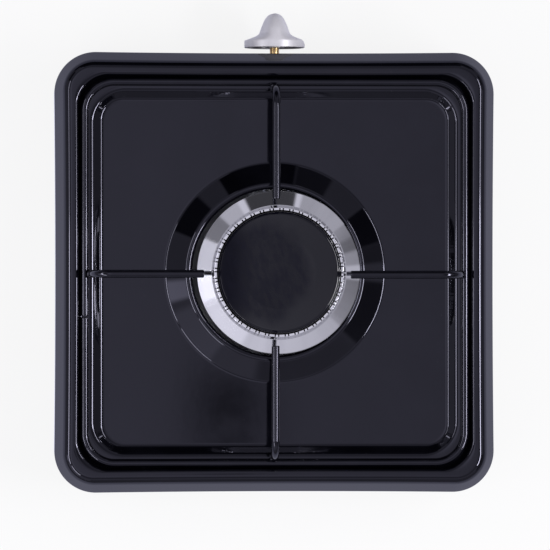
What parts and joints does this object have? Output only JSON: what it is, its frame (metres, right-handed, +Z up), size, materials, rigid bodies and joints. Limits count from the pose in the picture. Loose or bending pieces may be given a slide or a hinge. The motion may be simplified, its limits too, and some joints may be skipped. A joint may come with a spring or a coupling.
{
  "type": "single-burner tabletop gas hob",
  "caption": "Square enamelled tabletop gas hob with a drip tray, a wire pan support, one burner with a lift-off crown and cap, and a push-and-turn gas tap at the front.",
  "frame": {"origin": "centre of the square body's footprint, on the surface it stands on", "axes": "+Z up, -Y towards the user (the knob side), +Y towards the gas inlet, +X to the user's right when facing the knob"},
  "size_m": [0.28, 0.3066, 0.0995],
  "materials": {
    "black_enamel": "glossy black vitreous enamel on pressed steel, slight orange peel",
    "wire_enamel": "glossy black enamel on steel wire",
    "cap_enamel": "satin-gloss black enamel, slightly mottled",
    "polished_aluminium": "die-cast aluminium, skirt turned and polished",
    "cast_aluminium": "as-cast aluminium, fine grain",
    "zinc_steel": "zinc-plated pressed steel, satin",
    "brass": "turned brass, fine tool marks",
    "silver_plastic": "satin silver-grey lacquered plastic",
    "black_rubber": "matte black moulded rubber"
  },
  "bodies": {
    "base": {"body_shell": "black_enamel", "foot_front_left": "black_rubber", "foot_front_right": "black_rubber", "foot_rear_left": "black_rubber", "foot_rear_right": "black_rubber", "foot_screws": "zinc_steel", "burner_cup": "cast_aluminium", "mixing_tube": "zinc_steel", "burner_bracket": "zinc_steel", "bracket_studs": "zinc_steel", "bracket_nuts": "zinc_steel", "cup_screws": "zinc_steel", "injector_jet": "brass", "tap_body": "brass", "gland_plate": "zinc_steel", "gland_screws": "zinc_steel", "pipe_nut": "brass", "inlet_pipe": "zinc_steel", "inlet_bracket": "zinc_steel", "nozzle_nut": "brass", "hose_nozzle": "brass"},
    "pan_support": {"support_ring": "wire_enamel", "finger_front": "wire_enamel", "finger_rear": "wire_enamel", "finger_left": "wire_enamel", "finger_right": "wire_enamel"},
    "crown": {"burner_crown": "polished_aluminium"},
    "cap": {"burner_cap": "cap_enamel"},
    "tap_plug": {"tap_plug": "brass", "tap_spring": "zinc_steel"},
    "knob": {"knob": "silver_plastic", "knob_clip": "zinc_steel", "tap_spindle": "brass"}
  },
  "joints": [
    {"name": "pan_support_lift", "type": "slide", "parent": "base", "child": "pan_support", "axis": [0, 0, 1], "range_m": [0, 0.06]},
    {"name": "crown_lift", "type": "slide", "parent": "base", "child": "crown", "axis": [0, 0, 1], "range_m": [0, 0.015]},
    {"name": "cap_lift", "type": "slide", "parent": "crown", "child": "cap", "axis": [0, 0, 1], "range_m": [0, 0.03]},
    {"name": "tap_turn", "type": "hinge", "parent": "base", "child": "tap_plug", "pos_m": [-0.0011, -0.118, 0.038], "axis": [0, -1, 0], "range_deg": [0, 210]},
    {"name": "knob_push", "type": "slide", "parent": "tap_plug", "child": "knob", "axis": [0, 1, 0], "range_m": [0, 0.0025], "stiffness_N_per_m": 1500, "springref_m": -0.002, "deforming": ["tap_spring"]}
  ]
}
